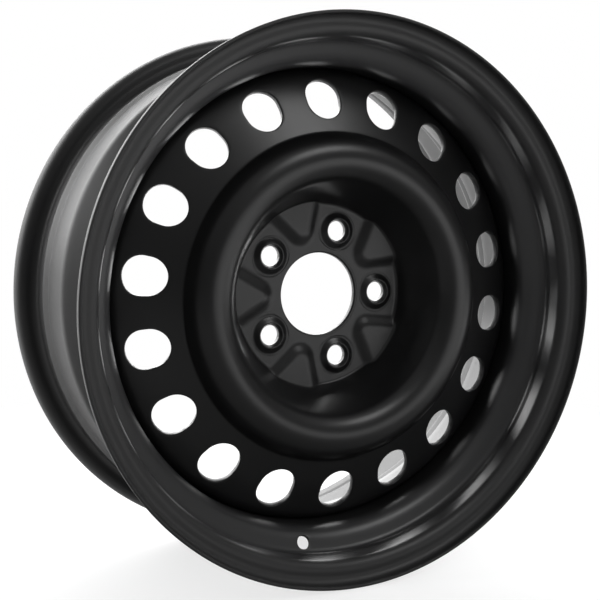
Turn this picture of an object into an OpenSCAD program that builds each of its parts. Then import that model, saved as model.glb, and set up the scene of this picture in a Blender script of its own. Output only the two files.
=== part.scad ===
// Steel wheel: a rolled rim, a pressed disc and the welds that join them.
// Millimetres. The axle lies along Y, the face with the wheel nuts looks to -Y, and +Z is up.
// The origin is the centre of the rim: half way between the bead flanges, on the axle.

/* [Rim] */
// Diameter of the bead seats where they meet the flanges (17 inch)
bead_d = 436.6; // [400:0.1:480]
// Width between the flanges, tyre side to tyre side (7 inch)
rim_w = 177.8; // [150:0.1:215]
// Sheet thickness of the rim
rim_t = 2.6; // [2:0.1:3.5]
// Height of a flange above its bead seat
flange_h = 17.3; // [14:0.1:19]
// How far a flange reaches out past its tyre side
flange_reach = 13; // [11:0.5:16]
// Bend at the top of a flange, on the tyre side
flange_r = 9.5; // [5:0.5:10]
// Bend between a flange and its bead seat, on the tyre side
heel_r = 6.5; // [4:0.5:8]
// Width of a bead seat up to its hump
seat_w = 14.5; // [12:0.5:20]
// Taper of a bead seat
seat_angle = 5; // [0:0.5:8]
// Height of the hump that keeps the inboard bead on its seat
hump_h = 0.9; // [0.4:0.1:1.6]
// Width from the foot of the inboard hump to its crest
hump_w = 4.4; // [3:0.1:7]
// Bends at the foot of a hump and at the inboard hump's crest, on the tyre side
hump_bend_r = 5; // [3:0.5:6]
// Depth of the well below the bead seats
well_depth = 20.3; // [16:0.1:24]
// Width of the outboard hump, from the end of its bead seat to the top of the well's wall
wall_w = 9.9; // [8:0.1:14]
// Height of the outboard hump at the top of the well's wall
wall_h = 1.2; // [0.4:0.1:2]
// Lean of the well's outboard wall from the axle
wall_angle = 63; // [50:0.5:68]
// Bend at the top of the outboard wall, on the tyre side
wall_top_r = 9; // [5:0.5:11]
// Bend at the foot of the outboard wall, on the tyre side
wall_foot_r = 15; // [8:0.5:17]
// Lean of the well's inboard side from the axle
well_angle_in = 36; // [28:0.5:60]
// Bend at the foot of the well's inboard side, on the tyre side
well_r = 6; // [3:0.5:9]
// Distance from the centre to where the inboard ledge falls to the well
ledge_at = 28; // [24:0.5:40]
// Depth of the inboard ledge below the bead seats, at the well
ledge_drop = 5.3; // [4:0.1:8]
// Depth of the inboard ledge below the bead seats, at the hump
ledge_drop_hump = 3.7; // [3:0.1:6]
// Width of the step from the inboard hump to the ledge
ledge_step = 8; // [5:0.5:12]
// Bend where the inboard ledge falls to the well, on the tyre side
ledge_bend_r = 12; // [6:0.5:14]
// Bend where the inboard ledge meets the step to the hump, on the tyre side
step_bend_r = 6; // [3:0.5:8]

/* [Valve hole] */
// Diameter of the valve hole
valve_d = 11.5; // [8:0.1:16]
// Turn of the valve hole about the axle, anticlockwise from +X
valve_angle = -99; // [-180:1:180]
// Distance of the valve hole from the foot of the well's outboard wall, along the wall
valve_up = 11.5; // [9:0.5:13]

/* [Disc] */
// Sheet thickness of the disc
disc_t = 4.8; // [3.5:0.1:6.5]
// Offset: from the centre of the rim out to the face that meets the hub
hub_offset = 20; // [0:0.5:45]
// Diameter of the hub bore
bore_d = 71.6; // [54:0.1:78]
// Rounding of the bore's front edge
bore_edge_r = 1.8; // [0.5:0.1:4]
// Radius at the foot of the bowl's wall
bowl_r = 79.2; // [76:0.1:88]
// Bend at the foot of the bowl's wall, on the front
bowl_bend_r = 4.5; // [2:0.1:7]
// Lean of the bowl's wall from the axle
bowl_angle = 25; // [15:0.5:30]
// Bend of the crown, on the front
crown_r = 21; // [16:0.5:24]
// Lean of the crown's outer flank from the axle
flank_angle = 30; // [20:0.5:40]
// Radius of the crease between the crown and the vented cone
crease_r = 139.2; // [134:0.1:142]
// Height of that crease in front of the mounting face
crease_h = 33.7; // [28:0.1:40]
// Bend of the crease, on the front
crease_bend_r = 5; // [3:0.5:8]
// Lean of the vented cone from the wheel's plane
cone_angle = 23; // [15:0.5:28]
// Bend between the cone and the skirt, on the front
skirt_bend_r = 14; // [8:0.5:18]
// Distance from the centre of the rim out to the skirt's edge
skirt_edge = 7; // [5:0.5:12]

/* [Vents] */
// Number of vents
vent_n = 18; // [12:1:18]
// Length of a vent, along the cone away from the axle
vent_l = 36.6; // [33:0.1:38]
// Width of a vent
vent_w = 31.8; // [24:0.1:32]
// Radius of the circle of vents, on the front of the cone
vent_r = 167.8; // [164:0.1:170]
// Turn of the first vent about the axle, anticlockwise from +X
vent_angle = 12.5; // [0:0.5:20]

/* [Wheel nuts] */
// Number of nut holes
lug_n = 5; // [4:1:6]
// Diameter of the circle of nut holes
pcd = 115; // [108:0.1:120]
// Diameter of a nut hole
lug_d = 17; // [13:0.1:18]
// Diameter of the conical nut seat at its mouth
seat_d = 21; // [18.5:0.1:21.5]
// Full angle of the conical nut seat
nut_angle = 60; // [60:5:90]
// Height of the raised boss round a nut hole
boss_h = 3; // [2:0.1:4]
// Diameter of the boss at its crest
boss_top_d = 22.6; // [22:0.1:25]
// Diameter of the boss at its foot
boss_foot_d = 31.2; // [28:0.1:33]

/* [Raised wedges] */
// Height of the wedges pressed up between the nut holes
wedge_h = 4.2; // [2:0.1:5]
// Radius at which a wedge's rounded tip starts
wedge_tip_r = 44.5; // [42:0.5:50]
// Rounding of a wedge's tip, on its flat top
wedge_round = 6; // [2:0.5:8]
// Width of the slope round a wedge
wedge_slope = 9; // [6:0.5:10]
// Angle between a wedge's two sides
wedge_angle = 60; // [40:1:64]
// Width of the band between the recess behind a wedge and the foot of the bowl
wedge_rim = 4; // [3:0.5:8]

/* [Welds] */
// Number of welds
weld_n = 6; // [4:1:8]
// Length of a weld along the skirt's edge
weld_l = 90; // [40:5:120]
// Leg of a weld
weld_leg = 4; // [2.5:0.5:4.5]

/* [Hidden] */
$fn = 120;
// Steps in which a bend of a profile is drawn
bend_steps = 8;
// How far a cutter runs past what it cuts, and a raised form into its sheet
past = 1;

bead_r = bead_d / 2;
lip_r = bead_r + flange_h;
flange_a = rim_w / 2;
lip_a = flange_a + flange_reach;
hump_a = flange_a - seat_w - hump_w;
toe_r = bead_r - seat_w * tan(seat_angle);
hump_r = toe_r + hump_h;
well_out_r = bead_r - well_depth;
well_in_r = well_out_r - rim_t;
wall_a = -flange_a + seat_w + wall_w;
wall_top = toe_r + wall_h;
well_a_out = wall_a + (wall_top - well_out_r) / tan(wall_angle);
ledge_r = bead_r - ledge_drop;
well_a_in = ledge_at - (ledge_r - well_out_r) / tan(well_angle_in);

face_a = -hub_offset - disc_t;
crease_a = face_a - crease_h;
// Where the lines of the bowl's wall and of the crown's flank would meet, in front of the crown
crown_rise = (crease_r - bowl_r + crease_h * tan(flank_angle)) / (tan(bowl_angle) + tan(flank_angle));
crown_vertex = [bowl_r + crown_rise * tan(bowl_angle), face_a - crown_rise];
skirt_a = crease_a + (well_in_r - crease_r) * tan(cone_angle);
vent_a = crease_a + (vent_r - crease_r) * tan(cone_angle);
tip_r = wedge_tip_r + wedge_slope + wedge_round;
wedge_lean = atan(wedge_slope / wedge_h);

function unit(v) = v / norm(v);
function left(v) = [-v[1], v[0]];
function turned(v, g) = [v[0] * cos(g) - v[1] * sin(g), v[0] * sin(g) + v[1] * cos(g)];
function flat(lists) = [for (l = lists) each l];
function backwards(l) = [for (i = [len(l) - 1:-1:0]) l[i]];

// A corner [r, a, bend radius] of a sheet's drawn side, as an arc at the distance d to the left of it.
function corner(path, i, d) =
    let (
        v = [path[i][0], path[i][1]],
        e = unit(v - [path[i - 1][0], path[i - 1][1]]),
        f = unit([path[i + 1][0], path[i + 1][1]] - v),
        s = sign(cross(e, f)),
        g = acos(min(1, e * f)),
        bend = path[i][2],
        start = v - e * bend * tan(g / 2),
        centre = start + left(e) * bend * s
    )
    [for (k = [0:bend_steps]) centre - turned(left(e), s * g * k / bend_steps) * s * (bend - s * d)];

// The inner corners of a sheet's side, each as its arc.
function bends(path, d) = flat([for (i = [1:len(path) - 2]) corner(path, i, d)]);

// A half circle over the end p of a sheet of thickness t that was travelling along e.
function round_end(p, e, t) =
    [for (k = [0:bend_steps * 2]) p + left(e) * t / 2 - turned(left(e), 180 * k / (bend_steps * 2)) * t / 2];

// Tyre side of the rim, from the outboard flange to the inboard one.
rim_path = [
    [lip_r, -lip_a + rim_t / 2, 0],
    [lip_r, -flange_a, flange_r],
    [bead_r, -flange_a, heel_r],
    [toe_r, -flange_a + seat_w, hump_bend_r],
    [wall_top, wall_a, wall_top_r],
    [well_out_r, well_a_out, wall_foot_r],
    [well_out_r, well_a_in, well_r],
    [ledge_r, ledge_at, ledge_bend_r],
    [bead_r - ledge_drop_hump, hump_a - ledge_step, step_bend_r],
    [hump_r, hump_a, hump_bend_r],
    [toe_r, flange_a - seat_w, hump_bend_r],
    [bead_r, flange_a, heel_r],
    [lip_r, flange_a, flange_r],
    [lip_r, lip_a - rim_t / 2, 0]
];

// Front of the disc, from the bore to the skirt's edge.
disc_path = [
    [bore_d / 2 + bore_edge_r, face_a, 0],
    [bowl_r, face_a, bowl_bend_r],
    [crown_vertex[0], crown_vertex[1], crown_r],
    [crease_r, crease_a, crease_bend_r],
    [well_in_r, skirt_a, skirt_bend_r],
    [well_in_r, -skirt_edge, 0]
];

module rim_section() {
    polygon(concat(
        bends(rim_path, 0),
        round_end([lip_r, lip_a - rim_t / 2], [0, 1], rim_t),
        backwards(bends(rim_path, rim_t)),
        round_end([lip_r - rim_t, -lip_a + rim_t / 2], [0, -1], rim_t)
    ));
}

module disc_section() {
    bore_r = bore_d / 2;
    edge = [for (k = [0:bend_steps])
        [bore_r + bore_edge_r * (1 - cos(90 * k / bend_steps)),
         face_a + bore_edge_r * (1 - sin(90 * k / bend_steps))]];
    polygon(concat(
        [[bore_r, face_a + disc_t]],
        edge,
        bends(disc_path, 0),
        [[well_in_r, -skirt_edge], [well_in_r - disc_t, -skirt_edge]],
        backwards(bends(disc_path, disc_t))
    ));
}

// Turns a wheel drawn with its axle along Z, inboard up, to stand on its tread.
module stand() {
    rotate([-90, 0, 0]) children();
}

// Places a form drawn on +X at the turn g about the axle.
module at_turn(g) {
    rotate([0, 0, -g]) children();
}

module valve_cut() {
    foot = [well_out_r, well_a_out];
    up = [sin(wall_angle), -cos(wall_angle)];
    centre = foot + up * valve_up;
    at_turn(valve_angle)
        translate([centre[0], 0, centre[1]])
            rotate([0, 90 - wall_angle, 0])
                cylinder(d = valve_d, h = rim_t * 4, center = true);
}

module vent_cut() {
    flat_l = max(0, vent_l - vent_w);
    translate([vent_r, 0, vent_a])
        rotate([0, -cone_angle, 0])
            linear_extrude(disc_t * 4, center = true)
                union() {
                    translate([flat_l / 2, 0]) circle(d = vent_w);
                    translate([-flat_l / 2, 0]) circle(d = vent_w);
                    square([flat_l, vent_w], center = true);
                }
}

// A nut's raised boss, its foot sunk a little into the sheet.
module lug_boss() {
    grow = (boss_foot_d - boss_top_d) / boss_h / 2;
    translate([pcd / 2, 0, face_a - boss_h])
        cylinder(r1 = boss_top_d / 2, r2 = boss_foot_d / 2 + past * grow, h = boss_h + past);
}

// A nut's hole with its conical seat.
module lug_cut() {
    taper = tan(nut_angle / 2);
    seat_depth = (seat_d - lug_d) / 2 / taper;
    translate([pcd / 2, 0, face_a - boss_h]) {
        translate([0, 0, -past])
            cylinder(r1 = seat_d / 2 + past * taper, r2 = lug_d / 2, h = seat_depth + past);
        cylinder(d = lug_d, h = boss_h + disc_t + past);
    }
}

// Everything on the near side of one sloping flank of a wedge.
module wedge_side() {
    big = bowl_r * 2;
    translate([tip_r, 0, face_a - wedge_h])
        rotate([0, 0, wedge_angle / 2])
            translate([0, wedge_round, 0])
                rotate([-90 - wedge_lean, 0, 0])
                    translate([-big, -big, -big * 2])
                        cube([big * 2, big * 2, big * 2]);
}

// The wedge pressed up between two nut holes: two sloping flanks, a flat top and a tip rounded as a cone.
module wedge_form(reach) {
    half = wedge_angle / 2;
    sunk = wedge_round + wedge_slope * (wedge_h + past) / wedge_h;
    side = [tip_r - sunk * sin(half), sunk * cos(half)];
    intersection() {
        union() {
            translate([tip_r, 0, face_a - wedge_h])
                cylinder(r1 = wedge_round, r2 = sunk, h = wedge_h + past);
            intersection() {
                translate([0, 0, face_a - wedge_h])
                    linear_extrude(wedge_h + past)
                        polygon([
                            [tip_r, 0],
                            [side[0], side[1]],
                            [side[0] + bowl_r * cos(half), side[1] + bowl_r * sin(half)],
                            [side[0] + bowl_r * cos(half), -side[1] - bowl_r * sin(half)],
                            [side[0], -side[1]]
                        ]);
                wedge_side();
                mirror([0, 1, 0]) wedge_side();
            }
        }
        translate([0, 0, face_a - wedge_h - past])
            cylinder(r = reach, h = wedge_h + past * 3);
    }
}

module rim() {
    color([0.10, 0.10, 0.11])
        stand()
            difference() {
                rotate_extrude() rim_section();
                valve_cut();
            }
}

module disc() {
    color([0.07, 0.07, 0.08])
        stand()
            difference() {
                union() {
                    rotate_extrude() disc_section();
                    for (i = [0:lug_n - 1]) {
                        at_turn(360 / lug_n * i) lug_boss();
                        at_turn(360 / lug_n * (i + 0.5))
                            wedge_form(bowl_r + wedge_h * tan(bowl_angle) + disc_t / 8);
                    }
                }
                for (i = [0:lug_n - 1]) {
                    at_turn(360 / lug_n * i) lug_cut();
                    at_turn(360 / lug_n * (i + 0.5))
                        translate([0, 0, disc_t]) wedge_form(bowl_r - wedge_rim);
                }
                for (i = [0:vent_n - 1])
                    at_turn(vent_angle + 360 / vent_n * i) vent_cut();
            }
}

module disc_welds() {
    sweep = weld_l / (well_in_r * PI) * 180;
    color([0.09, 0.09, 0.10])
        stand()
            for (i = [0:weld_n - 1])
                at_turn(360 / weld_n * i)
                    rotate([0, 0, -sweep / 2])
                        rotate_extrude(angle = sweep)
                            intersection() {
                                translate([well_in_r, -skirt_edge]) circle(r = weld_leg);
                                translate([well_in_r - weld_leg, -skirt_edge]) square(weld_leg);
                            }
}

rim();
disc();
disc_welds();
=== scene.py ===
"""Looks of a bare black steel wheel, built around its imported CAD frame.

Three pieces stand for the CAD nodes of the same shape: the rolled rim, the pressed disc and the welds
between them. Each is a sheet or a bead that is worked out on grids of (place along the section, turn
about the axle). Sizes are in millimetres, and become metres as a mesh is made. The axle lies along Y,
the face with the nut seats looks to -Y, and +Z is up.
"""

import logging
import math
from collections.abc import Sequence
from dataclasses import dataclass, field
from enum import Enum

import bmesh
import bpy
import numpy as np
from mathutils import Matrix, Vector


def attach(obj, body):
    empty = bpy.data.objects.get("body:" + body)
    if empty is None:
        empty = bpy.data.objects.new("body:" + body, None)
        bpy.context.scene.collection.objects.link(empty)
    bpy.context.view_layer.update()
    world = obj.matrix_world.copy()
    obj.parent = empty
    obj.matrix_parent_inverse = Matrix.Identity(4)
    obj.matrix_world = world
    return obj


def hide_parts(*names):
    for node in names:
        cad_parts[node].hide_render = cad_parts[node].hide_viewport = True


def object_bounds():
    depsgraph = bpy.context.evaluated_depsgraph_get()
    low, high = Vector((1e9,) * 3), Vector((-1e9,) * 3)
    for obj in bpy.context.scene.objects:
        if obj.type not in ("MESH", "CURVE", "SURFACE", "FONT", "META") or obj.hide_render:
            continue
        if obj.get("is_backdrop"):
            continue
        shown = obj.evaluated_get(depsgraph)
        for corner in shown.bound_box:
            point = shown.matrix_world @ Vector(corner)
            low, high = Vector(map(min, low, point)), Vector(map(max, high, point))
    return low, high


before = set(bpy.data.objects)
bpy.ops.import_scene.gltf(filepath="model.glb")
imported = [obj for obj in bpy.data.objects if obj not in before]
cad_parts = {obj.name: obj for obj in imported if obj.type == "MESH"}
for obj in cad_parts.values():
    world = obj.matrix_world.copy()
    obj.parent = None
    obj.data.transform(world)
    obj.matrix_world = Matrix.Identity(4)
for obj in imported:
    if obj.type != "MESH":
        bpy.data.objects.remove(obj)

LOG = logging.getLogger("wheel")
MM = 0.001
MERGE_DISTANCE = 0.002 * MM
SLIVER_LENGTH = 0.0005 * MM
ARC_STEP = 1.5  # degrees from point to point of a drawn bend
Array = np.ndarray
Colour = tuple[float, float, float]
Point = tuple[float, float, float]
Range = tuple[float, float]


class Socket:
    """A shader value on which Python arithmetic adds Math nodes."""

    def __init__(self, graph: "ShaderGraph", socket: bpy.types.NodeSocket) -> None:
        """Keep the graph and the output socket that holds the value."""
        self.graph = graph
        self.socket = socket

    def _math(self, operation: str, first: object, second: object) -> "Socket":
        """Add one Math node and give its value."""
        return self.graph.node("ShaderNodeMath", {"operation": operation}, {0: first, 1: second})

    def __add__(self, other: object) -> "Socket":
        """Value plus other."""
        return self._math("ADD", self, other)

    def __radd__(self, other: object) -> "Socket":
        """Other plus value."""
        return self._math("ADD", other, self)

    def __sub__(self, other: object) -> "Socket":
        """Value minus other."""
        return self._math("SUBTRACT", self, other)

    def __rsub__(self, other: object) -> "Socket":
        """Other minus value."""
        return self._math("SUBTRACT", other, self)

    def __mul__(self, other: object) -> "Socket":
        """Value times other."""
        return self._math("MULTIPLY", self, other)

    def __rmul__(self, other: object) -> "Socket":
        """Other times value."""
        return self._math("MULTIPLY", other, self)

    def at_least(self, other: object) -> "Socket":
        """The larger of value and other."""
        return self._math("MAXIMUM", self, other)

    def ramp(self, low: float, high: float) -> "Socket":
        """A soft step that is 0 up to low and 1 from high on."""
        values = {"Value": self, "From Min": low, "From Max": high, "To Min": 0.0, "To Max": 1.0}
        return self.graph.node("ShaderNodeMapRange", {"interpolation_type": "SMOOTHSTEP"}, values)


class ShaderGraph:
    """Adds nodes to one node tree."""

    def __init__(self, tree: bpy.types.NodeTree) -> None:
        """Take a tree and empty it."""
        self.tree = tree
        tree.nodes.clear()

    def node(self, kind: str, settings: dict | None = None, values: dict | None = None,
             out: int | str = 0) -> Socket:
        """Add a node, set it up and connect it.

        Args:
            kind: The node's type.
            settings: Properties of the node, which are set before its sockets.
            values: Sockets by name or place, each with a Socket to link or a number or colour to set.
            out: The output that is given back, by name or place.

        Returns:
            The chosen output, or the first one.
        """
        node = self.tree.nodes.new(kind)
        for name, value in (settings or {}).items():
            setattr(node, name, value)
        for name, value in (values or {}).items():
            if isinstance(value, Socket):
                self.tree.links.new(value.socket, node.inputs[name])
            else:
                node.inputs[name].default_value = value
        return Socket(self, node.outputs[out] if node.outputs else None)

    def noise(self, place: Socket, size: float, detail: float, rough: float = 0.5) -> Socket:
        """Noise between about 0 and 1.

        Args:
            place: Where it is read, in metres.
            size: Width of its largest marks, in metres.
            detail: Octaves of finer marks.
            rough: Weight of the finer marks.

        Returns:
            The noise value.
        """
        values = {"Vector": place, "Scale": 1.0 / size, "Detail": detail, "Roughness": rough}
        return self.node("ShaderNodeTexNoise", {"noise_dimensions": "3D"}, values, "Fac")

    def mix_colour(self, share: object, first: object, second: object) -> Socket:
        """A colour between two colours.

        Args:
            share: How much of the second colour there is.
            first: Colour at share 0.
            second: Colour at share 1.

        Returns:
            The mixed colour.
        """
        values = {0: share, 6: first, 7: second}
        return self.node("ShaderNodeMix", {"data_type": "RGBA"}, values, 2)


@dataclass(frozen=True)
class BlackPaint:
    """Satin black paint that was baked on to steel sheet.

    The sheet under it is a little wavy from the press, the paint has a fine orange peel, its gloss
    differs in soft patches, and it is thin and worn at cut edges. On the front, which is the side that
    looks to -Y, its colour can be painted a lighter grey, which is painted light, and it can have a
    gloss of its own. On the outer flange most of that painted light is taken back, which is painted
    shade, and the flange is rougher. The two lips are rough, because paint draws back from them.
    Sizes and places along the axle are in metres, and heights of the bump in millimetres.
    """

    name: str
    colour: Colour = (0.003, 0.003, 0.0032)
    front_painted_light_colour: Colour = (0.003, 0.003, 0.0032)
    front_along: Range = (-0.056, -0.045)
    flange_shade_along: Range = (-0.090, -0.074)
    flange_shade_share: float = 0.7
    dull_along: Range = (-0.092, -0.083)
    dull_roughness: float = 0.14
    lip_along: Range = (0.094, 0.098)
    lip_roughness: float = 0.12
    thin_colour: Colour = (0.0085, 0.0085, 0.0088)
    thin_share: float = 0.35
    thin_patches: Range = (0.3, 0.7)
    worn_share: float = 0.75
    worn_grain: Range = (0.38, 0.66)
    worn_roughness: float = 0.12
    dust_colour: Colour = (0.022, 0.0215, 0.021)
    dust_share: float = 0.35
    dust_specks: Range = (0.70, 0.78)
    dust_patches: Range = (0.42, 0.62)
    dust_roughness: float = 0.15
    roughness: float = 0.32
    front_roughness: float = 0.32
    roughness_spread: float = 0.06
    grain_spread: float = 0.05
    patch_size: float = 0.045
    speck_size: float = 0.0021
    grain_size: float = 0.0045
    peel_size: float = 0.0011
    peel_height: float = 0.0018
    wave_size: float = 0.017
    wave_height: float = 0.018
    draw_size: float = 0.004
    draw_stretch: float = 0.16
    draw_height: float = 0.003
    ior: float = 1.52

    def build(self) -> bpy.types.Material:
        """Make the material.

        Returns:
            A material whose colour, gloss and bump come from noise on Object coordinates, and from
            the mesh's own attribute `edge`, which is 1 on cut edges.
        """
        material = bpy.data.materials.new(self.name)
        material.use_nodes = True
        graph = ShaderGraph(material.node_tree)
        place = graph.node("ShaderNodeTexCoord", out="Object")
        edge = graph.node("ShaderNodeAttribute", {"attribute_name": "edge"}, out="Fac")

        patches = graph.noise(place, self.patch_size, detail=3.0)
        specks = graph.noise(place, self.speck_size, detail=1.0)
        grain = graph.noise(place, self.grain_size, detail=4.0, rough=0.6)
        wave = graph.noise(place, self.wave_size, detail=1.0)
        peel = graph.noise(place, self.peel_size, detail=1.0)
        scale = (1.0, self.draw_stretch, 1.0)
        stretch = graph.node("ShaderNodeMapping", None, {"Vector": place, "Scale": scale})
        drawn = graph.noise(stretch, self.draw_size, detail=2.0)

        worn = edge * grain.ramp(*self.worn_grain)
        dust = specks.ramp(*self.dust_specks) * patches.ramp(*self.dust_patches)
        along = graph.node("ShaderNodeSeparateXYZ", None, {0: place}, "Y")
        front = 1.0 - along.ramp(*self.front_along)
        # painted shade: on the outer flange most of the front's painted lighter grey is taken back
        flange_painted_shade = (1.0 - along.ramp(*self.flange_shade_along)) * self.flange_shade_share
        dull = 1.0 - along.ramp(*self.dull_along)
        lip = (along * along).ramp(*(distance ** 2 for distance in self.lip_along))
        thin = (*self.thin_colour, 1.0)
        share = patches.ramp(*self.thin_patches) * self.thin_share
        tone = graph.mix_colour(share, (*self.colour, 1.0), thin)
        # painted light: the front is mixed towards its lighter painted grey, less on the outer flange
        tone = graph.mix_colour(front * (1.0 - flange_painted_shade), tone, (*self.front_painted_light_colour, 1.0))
        tone = graph.mix_colour(worn * self.worn_share, tone, thin)
        tone = graph.mix_colour(dust * self.dust_share, tone, (*self.dust_colour, 1.0))
        gloss = self.roughness + front * (self.front_roughness - self.roughness)
        gloss = gloss + (patches - 0.5) * self.roughness_spread + (grain - 0.5) * self.grain_spread
        gloss = gloss + worn * self.worn_roughness + dust * self.dust_roughness
        gloss = gloss + dull * self.dull_roughness + lip * self.lip_roughness
        height = peel * self.peel_height + wave * self.wave_height + drawn * self.draw_height
        bump = graph.node("ShaderNodeBump", None, {"Strength": 1.0, "Distance": MM, "Height": height})
        values = {"Base Color": tone, "Roughness": gloss, "Normal": bump,
                  "IOR": self.ior, "Metallic": 0.0}
        shader = graph.node("ShaderNodeBsdfPrincipled", None, values)
        graph.node("ShaderNodeOutputMaterial", None, {"Surface": shader})
        return material


class Finish(Enum):
    """The finishes of the wheel, each with the name of a material slot."""

    RIM = "rim_paint"
    DISC = "disc_paint"
    WELD = "weld_paint"


PAINTS: dict[Finish, BlackPaint] = {
    # the rim's front is painted a lighter grey, which is painted light
    Finish.RIM: BlackPaint("rim_black_paint", front_painted_light_colour=(0.018, 0.018, 0.0186), roughness=0.5,
                           front_roughness=0.32, wave_size=0.022, wave_height=0.014),
    Finish.DISC: BlackPaint("disc_black_paint"),
    Finish.WELD: BlackPaint("weld_black_paint", roughness=0.42, peel_height=0.006, wave_height=0.05,
                            wave_size=0.006),
}


class SheetProfile:
    """One side of a bent sheet in the plane of radius and axle distance. The sheet lies to its left."""

    def __init__(self, corners: Sequence[Point]) -> None:
        """Round the corners of a path and measure along it.

        Each inner corner becomes an arc that touches both its lines, so the sheet keeps one thickness.

        Args:
            corners: (radius, axle distance, bend radius) from one end to the other, in millimetres.
        """
        places = np.array([c[:2] for c in corners], float)
        points, directions, self.bends = [places[0]], [self._unit(places[1] - places[0])], []
        length, last = 0.0, places[0]
        stations = [0.0]
        for i in range(1, len(corners) - 1):
            into = self._unit(places[i] - places[i - 1])
            onward = self._unit(places[i + 1] - places[i])
            cross = into[0] * onward[1] - into[1] * onward[0]
            angle, side, radius = math.atan2(abs(cross), into @ onward), np.sign(cross), corners[i][2]
            start = places[i] - into * radius * math.tan(angle / 2)
            length += float(np.linalg.norm(start - last))
            turns = np.linspace(0.0, angle, max(3, math.ceil(math.degrees(angle) / ARC_STEP)))
            cosines, sines = np.cos(side * turns), np.sin(side * turns)
            heading = np.stack([into[0] * cosines - into[1] * sines,
                                into[0] * sines + into[1] * cosines], 1)
            left_into = np.array([-into[1], into[0]])
            left = np.stack([-heading[:, 1], heading[:, 0]], 1)
            arc = start + side * radius * (left_into - left)
            points.extend(arc)
            directions.extend(heading)
            stations.extend(length + radius * turns)
            self.bends.append((length, length + radius * angle, angle))
            length, last = length + radius * angle, arc[-1]
        length += float(np.linalg.norm(places[-1] - last))
        points.append(places[-1])
        directions.append(self._unit(places[-1] - places[-2]))
        stations.append(length)
        self.points, self.directions = np.array(points), np.array(directions)
        self.stations, self.length = np.array(stations), length

    @staticmethod
    def _unit(vector: Array) -> Array:
        """The vector at length 1."""
        return vector / np.linalg.norm(vector)

    def station_at_radius(self, radius: float, after: float) -> float:
        """The first station past `after` at which the path goes outwards through a radius."""
        use = self.stations >= after
        return float(np.interp(radius, np.maximum.accumulate(self.points[use, 0]), self.stations[use]))

    def rows(self, start: float, end: float, bend_step: float, straight_step: float) -> Array:
        """Stations from start to end, close together on bends and wide apart on straights.

        Args:
            start: First station.
            end: Last station.
            bend_step: Largest turn from row to row, in degrees.
            straight_step: Largest distance from row to row on a straight.

        Returns:
            Stations in rising order, both ends included.
        """
        marks = sorted({start, end, *(m for b in self.bends for m in b[:2] if start < m < end)})
        pieces = []
        for low, high in zip(marks[:-1], marks[1:]):
            middle = (low + high) / 2
            turn = [(high - low) / (b[1] - b[0]) * b[2] for b in self.bends if b[0] < middle < b[1]]
            count = math.degrees(turn[0]) / bend_step if turn else (high - low) / straight_step
            pieces.append(np.linspace(low, high, max(1, math.ceil(count)) + 1)[:-1])
        return np.append(np.concatenate(pieces), end)

    def section(self, station: Array, depth: Array, ahead: Array | float = 0.0) -> tuple[Array, Array]:
        """Points of the sheet's section.

        A point is the path's own point, plus the depth along the path's left normal, plus the distance
        ahead along its direction.

        Args:
            station: Distances along the path.
            depth: Distances behind the drawn side.
            ahead: Distances past the station, straight on.

        Returns:
            Radii and axle distances.
        """
        place = [np.interp(station, self.stations, self.points[:, k]) for k in (0, 1)]
        way = [np.interp(station, self.stations, self.directions[:, k]) for k in (0, 1)]
        size = np.hypot(*way)
        way = [w / size for w in way]
        return place[0] - way[1] * depth + way[0] * ahead, place[1] + way[0] * depth + way[1] * ahead


def around(radius: Array, axle: Array, turn: Array) -> Array:
    """Points of the row frame from radius, axle distance and turn.

    x is radius times the cosine of the turn, z radius times its sine, and y the axle distance.

    Args:
        radius: Distances from the axle.
        axle: Distances along the axle.
        turn: Turns about the axle in radians, anticlockwise as seen from the front.

    Returns:
        Points with a last axis of 3.
    """
    radius, axle, turn = np.broadcast_arrays(radius, axle, turn)
    return np.stack([radius * np.cos(turn), axle, radius * np.sin(turn)], -1)


def soft_clamp(value: Array, blend: float) -> Array:
    """A ramp from 0 to 1 with its two corners rounded as parabolas.

    Args:
        value: Heights of the plain ramp, below 0 and above 1 too.
        blend: Half width of a rounded corner.

    Returns:
        Heights from 0 to 1.
    """
    low = np.where(value < blend, np.clip(value + blend, 0, None) ** 2 / (4 * blend), value)
    top = 1 - low
    return 1 - np.where(top < blend, np.clip(top + blend, 0, None) ** 2 / (4 * blend), top)


def soft_max(first: Array, second: Array, blend: float) -> Array:
    """The larger of two heights, with the crease between them rounded as a parabola over `blend`."""
    share = np.clip(blend - np.abs(first - second), 0, None) / blend
    return np.maximum(first, second) + share * share * blend / 4


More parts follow.
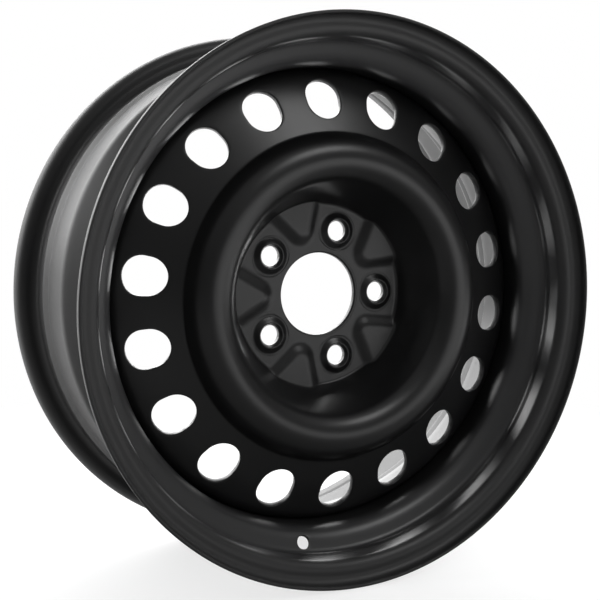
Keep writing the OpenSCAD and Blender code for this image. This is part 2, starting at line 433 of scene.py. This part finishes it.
class StripMesh:
    """Grids of points that become one closed mesh where their borders meet."""

    def __init__(self) -> None:
        """Start with nothing."""
        self.points: list[Array] = []
        self.quads: list[Array] = []
        self.edges: list[Array] = []
        self.count = 0

    def add(self, grid: Array, edge: Array | float = 0.0, closed: bool = True) -> None:
        """Add a grid.

        A face looks along the product of the grid's first direction with its second one.

        Args:
            grid: Points in millimetres, as rows by columns by 3.
            edge: How near each point is to a cut edge, from 0 to 1.
            closed: Whether the last column meets the first one.
        """
        rows, columns = grid.shape[:2]
        index = np.arange(rows * columns).reshape(rows, columns) + self.count
        beside = np.roll(index, -1, 1) if closed else index[:, 1:]
        index = index if closed else index[:, :-1]
        quads = np.stack([index[:-1], index[1:], beside[1:], beside[:-1]], -1)
        self.points.append(grid.reshape(-1, 3) * MM)
        self.quads.append(quads.reshape(-1, 4))
        self.edges.append(np.broadcast_to(edge, (rows, columns)).reshape(-1))
        self.count += rows * columns

    def build(self, name: str) -> bpy.types.Object:
        """Make the object, with points that lie on each other merged.

        Args:
            name: Name of the object and of its mesh.

        Returns:
            A smooth closed mesh object at the origin, with the attribute `edge`.
        """
        points, quads = np.concatenate(self.points), np.concatenate(self.quads)
        mesh = bpy.data.meshes.new(name)
        mesh.vertices.add(len(points))
        mesh.vertices.foreach_set("co", points.astype(np.float32).ravel())
        mesh.loops.add(quads.size)
        mesh.loops.foreach_set("vertex_index", quads.astype(np.int32).ravel())
        mesh.polygons.add(len(quads))
        mesh.polygons.foreach_set("loop_start", np.arange(0, quads.size, 4, dtype=np.int32))
        mesh.update(calc_edges=True)
        layer = mesh.attributes.new("edge", "FLOAT", "POINT")
        layer.data.foreach_set("value", np.concatenate(self.edges).astype(np.float32))
        work = bmesh.new()
        work.from_mesh(mesh)
        bmesh.ops.remove_doubles(work, verts=work.verts, dist=MERGE_DISTANCE)
        bmesh.ops.dissolve_degenerate(work, edges=work.edges, dist=SLIVER_LENGTH)
        work.to_mesh(mesh)
        work.free()
        mesh.polygons.foreach_set("use_smooth", np.ones(len(mesh.polygons), bool))
        mesh.validate()
        obj = bpy.data.objects.new(name, mesh)
        bpy.context.scene.collection.objects.link(obj)
        return obj


def dress(obj: bpy.types.Object, node: str, finish: Finish) -> bpy.types.Object:
    """Paint a piece, attach it to the root body and hide its CAD node.

    Args:
        obj: The piece.
        node: The CAD node that it replaces.
        finish: Its finish.

    Returns:
        The same piece.
    """
    obj.data.materials.append(PAINTS[finish].build())
    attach(obj, "root")
    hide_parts(node)
    return obj


def cell_border(low: float, high: float, turns: Array, side_rows: Array) -> tuple[Array, Array]:
    """The border of a cell of the sheet, once around.

    It goes along the high side with rising turn, back along the last turn, along the low side and out
    again along the first turn, so that a grid from a hole to this border faces the sheet's drawn side.

    Args:
        low: Station or radius of the inner side.
        high: Station or radius of the outer side.
        turns: Turns of the columns, both sides of the cell included.
        side_rows: Stations or radii along the other two sides, from low to high.

    Returns:
        Stations or radii, and turns.
    """
    first, last = turns[0], turns[-1]
    inner = side_rows[1:-1]
    place = np.concatenate([np.full(len(turns), high), inner[::-1], np.full(len(turns), low), inner])
    turn = np.concatenate([turns, np.full(len(inner), last), turns[::-1], np.full(len(inner), first)])
    return place, turn


@dataclass(frozen=True)
class PunchedHole:
    """A round or long hole that is punched square through a sheet, in a cell of its own."""

    profile: SheetProfile
    station: float
    radius: float
    width: float
    length: float
    rounds: Range
    rays: tuple[int, int]
    crowding: float = 1.0

    def cut(self, mesh: StripMesh, deep: float, border: tuple[Array, Array], turn: float) -> None:
        """Add the hole's wall, and the sheet between the hole and its cell's border.

        Its outline is two half circles joined by straights. Rays run from the outline to the border on
        both sides of the sheet, and quarter circles round the two edges of the cut.

        Args:
            mesh: Where it goes.
            deep: Thickness of the sheet.
            border: Stations and turns of the cell's border, for a hole at turn 0.
            turn: Turn of this hole about the axle.
        """
        along, across = border[0] - self.station, border[1] * self.radius
        heading = np.arctan2(across, along)
        cosine, sine = np.cos(heading), np.sin(heading)
        straight = (self.length - self.width) / 2

        def outline(grow: Array) -> Array:
            """The outline grown outwards, where each ray meets it.

            Args:
                grow: Distances by which it grows.

            Returns:
                Places along and across the sheet.
            """
            size = self.width / 2 + grow
            bulge = np.sqrt(np.clip(size ** 2 - (straight * sine) ** 2, 0, None))
            ends = straight * np.abs(cosine) + bulge
            sides = size / np.maximum(np.abs(sine), 1e-9)
            reach = np.where(np.abs(sides * cosine) < straight, sides, ends)
            return np.stack([reach * cosine, reach * sine])

        def sheet(grow: float, count: int) -> Array:
            """Points on the rays from the grown outline to the border.

            Args:
                grow: Distance by which the outline grows.
                count: Points on each ray, both ends included.

            Returns:
                Places along and across the sheet.
            """
            start = outline(np.array(grow))
            shares = np.linspace(0, 1, count)[None, :, None] ** self.crowding
            return start[:, None, :] + (np.stack([along, across]) - start)[:, None, :] * shares

        (back, front), quarter = self.rounds, np.linspace(0, math.pi / 2, 4)[:, None]
        rear, fore = sheet(back, self.rays[0])[:, :0:-1], sheet(front, self.rays[1])[:, 1:]
        rear_ring = outline(back * (1 - np.sin(quarter)))
        fore_ring = outline(front * (1 - np.sin(quarter[::-1])))
        places = np.concatenate([rear, rear_ring, fore_ring, fore], 1)
        ones = np.ones((1, len(heading)))
        depth = np.concatenate([
            np.full(rear.shape[1:], deep), (deep - back * (1 - np.cos(quarter))) * ones,
            front * (1 - np.cos(quarter[::-1])) * ones, np.zeros(fore.shape[1:])])
        worn = np.zeros(depth.shape)
        worn[rear.shape[1]:rear.shape[1] + 2 * len(quarter)] = 1.0
        radius, axle = self.profile.section(self.station + places[0], depth)
        mesh.add(around(radius, axle, turn + places[1] / self.radius), worn)


@dataclass
class WheelRim:
    """The rolled band that carries the tyre."""

    bead_d: float = 436.6
    width: float = 177.8
    thickness: float = 2.6
    flange_h: float = 17.2
    flange_reach: float = 13.0
    flange_r: float = 9.5
    heel_r: float = 6.5
    seat_w: float = 14.5
    seat_angle: float = 5.0
    hump_h: float = 0.9
    hump_w: float = 4.4
    hump_r: float = 5.0
    well_depth: float = 20.3
    wall_w: float = 9.9
    wall_h: float = 1.2
    wall_angle: float = 63.0
    wall_top_r: float = 9.0
    wall_foot_r: float = 15.0
    well_angle_in: float = 36.0
    well_r: float = 6.0
    ledge_at: float = 28.0
    ledge_drop: float = 5.3
    ledge_drop_hump: float = 3.7
    ledge_step: float = 8.0
    ledge_r: float = 12.0
    step_r: float = 6.0
    valve_d: float = 11.5
    valve_turn: float = -99.0
    valve_up: float = 11.5
    valve_round: float = 0.5
    valve_rays: int = 4
    cell_reach: float = 8.5
    cell_rows: int = 9
    cell_half: int = 3
    columns: int = 360
    profile: SheetProfile = field(init=False)
    valve_station: float = field(init=False)

    def __post_init__(self) -> None:
        """Lay out the tyre side of the section, from the outboard flange to the inboard one."""
        bead, flange = self.bead_d / 2, self.width / 2
        lip, reach = bead + self.flange_h, flange + self.flange_reach - self.thickness / 2
        toe = bead - self.seat_w * math.tan(math.radians(self.seat_angle))
        crest, hump = toe + self.hump_h, flange - self.seat_w - self.hump_w
        well, ledge = bead - self.well_depth, bead - self.ledge_drop
        wall, wall_top = self.seat_w + self.wall_w - flange, toe + self.wall_h
        foot_out = wall + (wall_top - well) / math.tan(math.radians(self.wall_angle))
        foot_in = self.ledge_at - (ledge - well) / math.tan(math.radians(self.well_angle_in))
        self.profile = SheetProfile([
            (lip, -reach, 0), (lip, -flange, self.flange_r), (bead, -flange, self.heel_r),
            (toe, self.seat_w - flange, self.hump_r), (wall_top, wall, self.wall_top_r),
            (well, foot_out, self.wall_foot_r), (well, foot_in, self.well_r),
            (ledge, self.ledge_at, self.ledge_r),
            (bead - self.ledge_drop_hump, hump - self.ledge_step, self.step_r),
            (crest, hump, self.hump_r), (toe, flange - self.seat_w, self.hump_r),
            (bead, flange, self.heel_r), (lip, flange, self.flange_r), (lip, reach, 0),
        ])
        start, end, angle = self.profile.bends[4]
        foot = (start + end) / 2 + self.wall_foot_r * (math.tan(angle / 2) - angle / 2)
        self.valve_station = foot - self.valve_up

    def _lip(self, station: float, sign: float) -> tuple[Array, Array, Array]:
        """Half round edge of a flange.

        A half circle of half the sheet's thickness goes over the sheet's end.

        Args:
            station: Station of the sheet's end.
            sign: 1 from the drawn side to the back at the far end, -1 from the back at the near end.

        Returns:
            Stations, depths and distances ahead.
        """
        turn, half = np.linspace(0, math.pi, 13)[1:-1], self.thickness / 2
        depth = half * (1 - sign * np.cos(turn))
        return np.full_like(turn, station), depth, sign * half * np.sin(turn)

    def _band(self, mesh: StripMesh, rows: Sequence[tuple[Array, Array, Array]], turns: Array,
              closed: bool = True) -> None:
        """Carry a run of the section around the axle.

        Args:
            mesh: Where it goes.
            rows: Runs of stations, depths and distances ahead.
            turns: Turns of the columns.
            closed: Whether it goes all the way round.
        """
        station, depth, ahead = (np.concatenate(part) for part in zip(*rows))
        radius, axle = self.profile.section(station, depth, ahead)
        mesh.add(around(radius[:, None], axle[:, None], turns[None, :]), closed=closed)

    def build(self) -> bpy.types.Object:
        """Make the rim.

        The section is carried around the axle, and one cell of the outboard wall is left out on both
        sides for the valve hole.

        Returns:
            The dressed rim.
        """
        mesh, profile, deep = StripMesh(), self.profile, self.thickness
        step = 2 * math.pi / self.columns
        turns = math.radians(self.valve_turn) + step * np.arange(self.columns)
        low, high = self.valve_station - self.cell_reach, self.valve_station + self.cell_reach
        near = profile.rows(0, low, bend_step=9, straight_step=6)
        far = profile.rows(high, profile.length, bend_step=9, straight_step=6)
        side = np.linspace(low, high, self.cell_rows)
        lip_near, lip_far = self._lip(0.0, -1), self._lip(profile.length, 1)

        def run(stations: Array, depth: float) -> tuple[Array, Array, Array]:
            """A run of rows at one depth."""
            return stations, np.full(len(stations), depth), np.zeros(len(stations))

        self._band(mesh, [run(near[::-1], deep), lip_near, run(near, 0.0)], turns)
        self._band(mesh, [run(far, 0.0), lip_far, run(far[::-1], deep)], turns)
        rest = turns[0] + step * np.arange(self.cell_half, self.columns - self.cell_half + 1)
        self._band(mesh, [run(side, 0.0)], rest, closed=False)
        self._band(mesh, [run(side[::-1], deep)], rest, closed=False)
        radius = float(profile.section(np.array(self.valve_station), np.array(0.0))[0])
        valve = PunchedHole(profile, self.valve_station, radius, self.valve_d, self.valve_d,
                            (self.valve_round,) * 2, (self.valve_rays,) * 2)
        cell = step * np.arange(-self.cell_half, self.cell_half + 1)
        valve.cut(mesh, deep, cell_border(low, high, cell, side), turns[0])
        return dress(mesh.build("rim_band"), "rim", Finish.RIM)


@dataclass
class WheelDisc:
    """The pressed disc: mounting face, bowl, crown, vented cone and skirt."""

    thickness: float = 4.8
    hub_offset: float = 20.0
    bore_d: float = 71.6
    bore_round: float = 1.8
    bore_margin: float = 1.0
    back_round: float = 0.5
    bowl_r: float = 79.2
    bowl_bend: float = 4.5
    bowl_angle: float = 25.0
    bowl_margin: float = 0.5
    crown_bend: float = 21.0
    flank_angle: float = 30.0
    crease_r: float = 139.2
    crease_h: float = 33.7
    crease_bend: float = 5.0
    cone_angle: float = 23.0
    skirt_bend: float = 14.0
    skirt_r: float = 195.4
    skirt_edge: float = 7.0
    skirt_round: float = 0.7
    vent_n: int = 18
    vent_l: float = 36.6
    vent_w: float = 31.8
    vent_r: float = 167.8
    vent_turn: float = 12.5
    vent_round: Range = (0.45, 0.9)
    vent_rays: tuple[int, int] = (5, 7)
    vent_cell: Range = (145.0, 189.6)
    vent_rows: int = 15
    vent_crowding: float = 1.2
    lug_n: int = 5
    pcd: float = 115.0
    lug_d: float = 17.0
    lug_margin: float = 2.5
    lug_rows: int = 27
    seat_d: float = 21.0
    seat_foot_bend: float = 0.5
    seat_top_bend: float = 0.45
    nut_angle: float = 60.0
    boss_h: float = 3.0
    boss_top_d: float = 22.6
    boss_top_bend: float = 0.9
    boss_foot_d: float = 31.2
    boss_foot_bend: float = 3.0
    boss_margin: float = 1.6
    wedge_h: float = 4.2
    wedge_tip_r: float = 44.5
    wedge_round: float = 6.0
    wedge_slope: float = 9.0
    wedge_angle: float = 60.0
    wedge_rim: float = 4.0
    wedge_soft: float = 0.3
    wedge_blend: float = 1.2
    wedge_limit: float = 12.0
    hollow_fade: float = 5.0
    columns: int = 270
    profile: SheetProfile = field(init=False)

    def __post_init__(self) -> None:
        """Lay out the front of the section, from the bore to the skirt's edge."""
        tan_bowl, tan_flank, tan_cone = (
            math.tan(math.radians(g)) for g in (self.bowl_angle, self.flank_angle, self.cone_angle))
        face = self.face
        rise = (self.crease_r - self.bowl_r + self.crease_h * tan_flank) / (tan_bowl + tan_flank)
        crease = face - self.crease_h
        self.profile = SheetProfile([
            (self.bore_d / 2 + self.bore_round, face, 0), (self.bowl_r, face, self.bowl_bend),
            (self.bowl_r + rise * tan_bowl, face - rise, self.crown_bend),
            (self.crease_r, crease, self.crease_bend),
            (self.skirt_r, crease + (self.skirt_r - self.crease_r) * tan_cone, self.skirt_bend),
            (self.skirt_r, -self.skirt_edge, 0),
        ])

    @property
    def face(self) -> float:
        """Axle distance of the front of the mounting face."""
        return -self.hub_offset - self.thickness

    def _wedge(self, x: Array, z: Array) -> Array:
        """Height of the wedges pressed up between the nut holes.

        In the frame of the nearest wedge, a fan with a round tip opens outwards on its centre line. The
        height falls off evenly with the distance from that fan, and its two edges are rounded.

        Args:
            x: Places across the face.
            z: Places up the face.

        Returns:
            Heights above the mounting face.
        """
        pitch = 2 * math.pi / self.lug_n
        radius, turn = np.hypot(x, z), np.arctan2(z, x)
        near = np.mod(turn, pitch) - pitch / 2
        along = radius * np.cos(near) - self.wedge_tip_r - self.wedge_slope - self.wedge_round
        across = np.abs(radius * np.sin(near))
        half = math.radians(self.wedge_angle / 2)
        past_side = across * math.cos(half) - along * math.sin(half)
        behind_tip = along * math.cos(half) + across * math.sin(half) < 0
        distance = np.where(behind_tip, np.hypot(along, across), past_side) - self.wedge_round
        return self.wedge_h * soft_clamp(1 - distance / self.wedge_slope, self.wedge_soft)

    def _front(self, x: Array, z: Array, height: Array) -> Array:
        """Axle distance of the front where the section has a height above the face, wedges added."""
        raised = soft_max(height, self._wedge(x, z), self.wedge_blend)
        return self.face - np.where(height < self.wedge_limit, raised, height)

    def _back(self, x: Array, z: Array) -> Array:
        """Axle distance of the back of the face, hollow behind each wedge up to the bowl's foot.

        Args:
            x: Places across the face.
            z: Places up the face.

        Returns:
            Axle distances.
        """
        inside = self.bowl_r - self.wedge_rim - np.hypot(x, z)
        fade = soft_clamp(inside / self.hollow_fade + 0.5, self.wedge_soft)
        return -self.hub_offset - self._wedge(x, z) * fade

    def _bore(self, mesh: StripMesh, outer: float, turns: Array) -> None:
        """The hub bore: back edge, wall and the rounded front edge, carried around the axle.

        Args:
            mesh: Where it goes.
            outer: Radius at which it meets the face on both sides.
            turns: Turns of the columns.
        """
        bore, big, small = self.bore_d / 2, self.bore_round, self.back_round
        quarter = np.linspace(0, math.pi / 2, 7)
        falling, rising = 1 - np.sin(quarter), 1 - np.cos(quarter)
        back, front = -self.hub_offset, self.face
        radius = np.concatenate([[outer], bore + small * falling, bore + big * rising, [outer]])
        axle = np.concatenate([[back], back - small * rising, front + big * falling, [front]])
        worn = np.concatenate([[0], np.ones(len(quarter)), np.linspace(1, 0.2, len(quarter)), [0]])
        mesh.add(around(radius[:, None], axle[:, None], turns[None, :]), worn[:, None])

    def _lug(self, mesh: StripMesh, border: tuple[Array, Array], turn: float) -> None:
        """One nut hole with its conical seat and raised boss, in its own sector of the face.

        A rounded section is carried around the hole's axis, and rays run on from it to the sector's
        border, on the front over the wedges and on the back into their hollows.

        Args:
            mesh: Where it goes.
            border: Radii and turns of the sector's border, for a hole on +X.
            turn: Turn of this hole about the axle.
        """
        centre, hole, top = self.pcd / 2, self.lug_d / 2, self.seat_d / 2
        depth = (top - hole) / math.tan(math.radians(self.nut_angle / 2)) - self.boss_h
        boss = SheetProfile([
            (hole, -self.thickness + self.back_round, 0), (hole, -depth, self.seat_foot_bend),
            (top, self.boss_h, self.seat_top_bend),
            (self.boss_top_d / 2, self.boss_h, self.boss_top_bend),
            (self.boss_foot_d / 2, 0, self.boss_foot_bend),
            (self.boss_foot_d / 2 + self.boss_margin, 0, 0)])
        rows = boss.rows(0, boss.length, bend_step=16, straight_step=3)
        rho, height = boss.section(rows, np.array(0.0))
        edge_x, edge_z = border[0] * np.cos(border[1]), border[0] * np.sin(border[1])
        heading = np.arctan2(edge_z, edge_x - centre)
        ray = np.stack([np.cos(heading), np.sin(heading)])
        ring = rho[-1] * ray + np.array([[centre], [0.0]])
        rim = np.stack([edge_x, edge_z])

        def rays(count: int) -> Array:
            """Points on the rays from the ring to the border, both ends included."""
            return ring[:, None, :] + (rim - ring)[:, None, :] * np.linspace(0, 1, count)[None, :, None]

        def rings(sizes: Array) -> Array:
            """Circles about the hole's axis."""
            return sizes[None, :, None] * ray[:, None, :] + np.array([centre, 0.0])[:, None, None]

        back, sheet = rays(count=7)[:, ::-1], rays(count=20)[:, 1:]
        circle_back = rings(np.array([hole + self.lug_margin, hole + self.back_round]))
        circle = rings(rho)
        flat = np.broadcast_to(height[:, None], circle.shape[1:])
        x, z = np.concatenate([back, circle_back, circle, sheet], 1)
        axle = np.concatenate([
            self._back(*back), np.full(circle_back.shape[1:], -self.hub_offset), self.face - flat,
            self._front(sheet[0], sheet[1], np.zeros(sheet.shape[1:]))])
        worn = np.zeros(x.shape)
        first = back.shape[1] + 1
        worn[first:first + 3] = 1.0  # the edge at the back and the wall of the hole
        cosine, sine = math.cos(turn), math.sin(turn)
        mesh.add(np.stack([x * cosine - z * sine, axle, x * sine + z * cosine], -1), worn)

    def build(self) -> bpy.types.Object:
        """Make the disc.

        Rings of the section, sectors with the nut holes and cells with the vents are laid side by side.
        Between the face and the cone the columns turn by up to half a step, so that they meet both.

        Returns:
            The dressed disc.
        """
        mesh, profile, deep = StripMesh(), self.profile, self.thickness
        step = 2 * math.pi / self.columns
        turns = step * np.arange(self.columns)
        first = self.bore_d / 2 + self.bore_round + self.bore_margin
        last = profile.bends[0][0] + profile.points[0, 0] - self.bowl_margin
        self._bore(mesh, first, turns)
        per_lug, per_vent = self.columns // self.lug_n, self.columns // self.vent_n
        sector = step * (np.arange(per_lug + 1) - per_lug / 2)
        border = cell_border(first, last, sector, np.linspace(first, last, self.lug_rows))
        for i in range(self.lug_n):
            self._lug(mesh, border, 2 * math.pi * i / self.lug_n)

        cone = profile.bends[2][1]
        vent_from, vent_to = (profile.station_at_radius(radius, cone) for radius in self.vent_cell)
        slip = math.radians(self.vent_turn) - step * per_vent / 2
        slip = (slip + step / 2) % step - step / 2
        start = last - profile.points[0, 0]
        fore = profile.rows(start, vent_from, bend_step=5, straight_step=5)
        rear = profile.rows(start, vent_from, bend_step=7, straight_step=6)[::-1]
        for depth, rows in ((0.0, fore), (deep, rear)):
            radius, axle = profile.section(rows, np.full(len(rows), depth))
            columns = turns[None, :] + (slip * (rows - start) / (vent_from - start))[:, None]
            grid = around(radius[:, None], axle[:, None], columns)
            if depth == 0.0:
                grid[..., 1] = self._front(grid[..., 0], grid[..., 2], self.face - grid[..., 1])
            mesh.add(grid)

        cell = step * (np.arange(per_vent + 1) - per_vent / 2)
        border = cell_border(vent_from, vent_to, cell, np.linspace(vent_from, vent_to, self.vent_rows))
        middle = profile.station_at_radius(self.vent_r, cone)
        vent = PunchedHole(profile, middle, self.vent_r, self.vent_w, self.vent_l,
                           self.vent_round, self.vent_rays, self.vent_crowding)
        for i in range(self.vent_n):
            vent.cut(mesh, deep, border, math.radians(self.vent_turn) + 2 * math.pi * i / self.vent_n)

        edge, quarter = self.skirt_round, np.linspace(0, math.pi / 2, 5)
        rows = profile.rows(vent_to, profile.length - edge, bend_step=6, straight_step=8)[:-1]
        turn_in, sink = profile.length - edge * (1 - np.sin(quarter)), edge * (1 - np.cos(quarter))
        station = np.concatenate([rows, turn_in, turn_in[::-1], rows[::-1]])
        depth = np.concatenate([0 * rows, sink, deep - sink[::-1], 0 * rows + deep])
        radius, axle = profile.section(station, depth)
        mesh.add(around(radius[:, None], axle[:, None], (turns + slip)[None, :]))
        return dress(mesh.build("pressed_disc"), "disc", Finish.DISC)


@dataclass
class DiscWelds:
    """The arc welds along the skirt's inboard edge."""

    count: int = 6
    length: float = 90.0
    leg: float = 4.0
    radius: float = 195.4
    edge: float = -7.0
    ripple: float = 2.6
    ripple_power: float = 0.6
    ripple_share: float = 0.07
    plain_share: float = 0.90
    drift: float = 0.015
    end_run: float = 5.0
    fullness: float = 1.9
    sunk: float = 0.04
    rows: int = 220

    def build(self) -> bpy.types.Object:
        """Make the beads.

        Across, a bead is a rounded fillet in the corner between the skirt's edge and the rim. Along,
        its leg has small waves, one for each drop of weld, on two slow ones, and closes to nothing at
        both ends.

        Returns:
            The dressed beads, as one piece.
        """
        mesh = StripMesh()
        along = np.linspace(0, 1, self.rows)
        place = along * self.length
        wave = np.abs(np.sin(math.pi * place / self.ripple)) ** self.ripple_power
        drift = self.drift * np.sin(place * 0.21) + self.drift * np.sin(place * 0.47 + 1.0)
        ends = np.clip(np.minimum(along, 1 - along) * self.length / self.end_run, 0, 1)
        size = self.leg * (self.plain_share + self.ripple_share * wave + drift)
        size = size * np.sqrt(np.clip(2 * ends - ends ** 2, 0, 1))
        turn, full = np.linspace(0, math.pi / 2, 11), self.fullness
        lobe = (np.cos(turn) ** full + np.sin(turn) ** full) ** (-1 / full)
        root = np.full((self.rows, 1), -self.sunk)
        inward = np.concatenate([size[:, None] * (lobe * np.cos(turn)), root], 1)
        onward = np.concatenate([size[:, None] * (lobe * np.sin(turn)), root], 1)
        open_ = (ends > 0)[:, None]
        inward, onward = np.where(open_, inward, 0.0), np.where(open_, onward, 0.0)
        sweep = self.length / self.radius
        for i in range(self.count):
            turns = 2 * math.pi * i / self.count + sweep * (along - 0.5)
            grid = around(self.radius - inward, self.edge + onward, turns[:, None])
            mesh.add(grid)
        return dress(mesh.build("weld_beads"), "disc_welds", Finish.WELD)


@dataclass(frozen=True)
class Softbox:
    """A large soft lamp. Places and sizes are in metres."""

    name: str
    place: Point
    aim: Point
    size: Range
    power: float

    def build(self) -> None:
        """Make the lamp and turn it to its aim."""
        lamp = bpy.data.lights.new(self.name, "AREA")
        lamp.shape, lamp.size, lamp.size_y, lamp.energy = "RECTANGLE", *self.size, self.power
        obj = bpy.data.objects.new(self.name, lamp)
        obj.location = self.place
        obj.rotation_euler = (Vector(self.aim) - Vector(self.place)).to_track_quat("-Z", "Y").to_euler()
        bpy.context.scene.collection.objects.link(obj)


@dataclass
class Studio:
    """A pale floor, a plain surround, soft lamps and the camera of the photograph."""

    floor_z: float
    floor_half: float = 3.0
    floor_colour: Colour = (0.86, 0.86, 0.86)
    floor_fleck: Colour = (0.8, 0.8, 0.8)
    fleck_size: float = 0.03
    fleck_share: float = 0.04
    floor_shade: Colour = (0.16, 0.16, 0.16)
    floor_roughness: float = 0.9
    lit_far: Range = (0.55, 1.1)
    lit_right: Range = (0.05, 0.5)
    lit_behind: Range = (-0.2, 0.5)
    near_white: float = 0.68
    white_far: Range = (0.30, 0.85)
    fill_left: float = 0.25
    fill_right: float = 4.0
    fill_side: Range = (0.3, 0.95)
    front_grey: float = 0.13
    top_grey: float = 0.36
    room_up: Range = (0.0, 0.9)
    back_white: float = 1.3
    room_behind: Range = (0.4, 0.75)
    camera_place: Point = (-0.46551, -0.90460, 0.09017)
    camera_turn: float = -27.438
    camera_tilt: float = -2.079
    camera_roll: float = 0.321
    sensor: float = 36.0
    lens: float = 68.658
    shift: Range = (-0.016664, -0.113824)
    lamps: tuple[Softbox, ...] = (
        Softbox("softbox_above", (0.45, -1.05, 1.18), (0.0, 0.0, 0.0), (0.74, 0.44), 4.3),
        Softbox("softbox_front", (0.82, -2.04, -0.02), (0.0, 0.0, -0.02), (1.7, 0.5), 2.9),
        Softbox("softbox_right", (2.18, 0.3, 0.9), (0.0, 0.0, 0.3), (1.2, 2.2), 19.0),
        Softbox("softbox_back", (0.7, 2.4, 1.6), (0.0, 0.0, 0.2), (2.8, 2.6), 135.0),
        Softbox("softbox_left", (-1.77, 1.77, 1.2), (0.0, 0.0, 0.2), (3.5, 2.0), 116.0),
    )

    def floor(self) -> None:
        """Make the floor, which is no part of the object.

        A flat grid, whose material fades from a pale floor that takes a soft shadow to plain white far
        out. In glossy paint the floor's colour is painted dim grey in front, as painted shade that
        stands for the dim part of the room that it belongs to, and stays pale behind the object and far
        out to the right, as painted light where the lamps light it.
        """
        line = np.linspace(-self.floor_half, self.floor_half, 25)
        x, y = np.meshgrid(line, line, indexing="ij")
        mesh = StripMesh()
        mesh.add(np.stack([x, y, np.full_like(x, self.floor_z)], -1) / MM, closed=False)
        floor = mesh.build("studio_floor")
        material = bpy.data.materials.new("pale_floor")
        material.use_nodes = True
        graph = ShaderGraph(material.node_tree)
        place = graph.node("ShaderNodeTexCoord", out="Object")
        far = graph.node("ShaderNodeVectorMath", {"operation": "LENGTH"}, {0: place}, "Value")
        flecks = graph.noise(place, self.fleck_size, detail=3.0) * self.fleck_share
        tone = graph.mix_colour(flecks, (*self.floor_colour, 1.0), (*self.floor_fleck, 1.0))
        glossy = graph.node("ShaderNodeLightPath", out="Is Glossy Ray")
        side, ahead = (graph.node("ShaderNodeSeparateXYZ", None, {0: place}, axis) for axis in "XY")
        # painted shade and painted light: glossy rays see the floor's colour dim in front, pale far
        # right and behind
        lit = far.ramp(*self.lit_far) * side.ramp(*self.lit_right)
        lit = lit.at_least(ahead.ramp(*self.lit_behind))
        tone = graph.mix_colour(glossy * (1.0 - lit), tone, (*self.floor_shade, 1.0))
        values = {"Base Color": tone, "Roughness": self.floor_roughness}
        pale = graph.node("ShaderNodeBsdfPrincipled", None, values)
        white = graph.node("ShaderNodeEmission", None, {"Color": (1, 1, 1, 1), "Strength": 1.0})
        seen = graph.node("ShaderNodeLightPath", out="Is Camera Ray")
        share = self.near_white + far.ramp(*self.white_far) * (1.0 - self.near_white)
        surface = graph.node("ShaderNodeMixShader", None, {0: share * seen, 1: pale, 2: white})
        graph.node("ShaderNodeOutputMaterial", None, {"Surface": surface})
        floor.data.materials.append(material)
        floor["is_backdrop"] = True

    def world(self) -> None:
        """Make the surround.

        The camera sees white. Glossy paint sees a dim room in front, paler above, that turns white
        behind the object. All other light is a weak fill from every side, which is stronger from the
        right.
        """
        world = bpy.data.worlds.new("studio_surround")
        bpy.context.scene.world = world
        world.use_nodes = True
        graph = ShaderGraph(world.node_tree)
        kinds = "Camera", "Transmission", "Glossy"
        camera, through, glossy = (
            graph.node("ShaderNodeLightPath", out=f"Is {kind} Ray") for kind in kinds)
        way = graph.node("ShaderNodeTexCoord", out="Generated")
        side, ahead, up = (graph.node("ShaderNodeSeparateXYZ", None, {0: way}, axis) for axis in "XYZ")
        room = self.front_grey + up.ramp(*self.room_up) * (self.top_grey - self.front_grey)
        room = room + ahead.ramp(*self.room_behind) * (self.back_white - room)
        fill = self.fill_left + side.ramp(*self.fill_side) * (self.fill_right - self.fill_left)
        other = fill + glossy * (room - fill)
        seen = camera.at_least(through)
        strength = other + seen * (1.0 - other)
        back = graph.node("ShaderNodeBackground", None, {"Color": (1, 1, 1, 1), "Strength": strength})
        graph.node("ShaderNodeOutputWorld", None, {"Surface": back})

    def camera(self) -> None:
        """Set the camera at the photograph's place, from its turn, tilt and roll."""
        angles = self.camera_turn, self.camera_tilt, self.camera_roll
        turn, tilt, roll = (math.radians(angle) for angle in angles)
        level = math.cos(tilt)
        ahead = Vector((-math.sin(turn) * level, math.cos(turn) * level, math.sin(tilt)))
        flat = ahead.cross(Vector((0, 0, 1))).normalized()
        right = flat * math.cos(roll) + flat.cross(ahead) * math.sin(roll)
        axes = Matrix((right, right.cross(ahead), -ahead)).transposed()
        data = bpy.data.cameras.new("photo_camera")
        data.sensor_width, data.lens = self.sensor, self.lens
        data.shift_x, data.shift_y = self.shift
        obj = bpy.data.objects.new("photo_camera", data)
        obj.matrix_world = Matrix.Translation(self.camera_place) @ axes.to_4x4()
        bpy.context.scene.collection.objects.link(obj)
        bpy.context.scene.camera = obj

    def build(self) -> None:
        """Make the whole studio."""
        bpy.context.scene.view_settings.view_transform = "Standard"
        self.floor()
        self.world()
        self.camera()
        for lamp in self.lamps:
            lamp.build()
        LOG.info("studio: floor, surround, camera and %d lamps", len(self.lamps))


def main() -> None:
    """Build the pieces and the studio."""
    logging.basicConfig(level=logging.INFO, format="%(name)s: %(message)s")
    cad = [list(corner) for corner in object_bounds()]
    for piece in (WheelRim(), WheelDisc(), DiscWelds()):
        obj = piece.build()
        LOG.info("%s: %d faces", obj.name, len(obj.data.polygons))
    Studio(floor_z=cad[0][2]).build()
    bpy.context.view_layer.update()


if __name__ == "__main__":
    main()
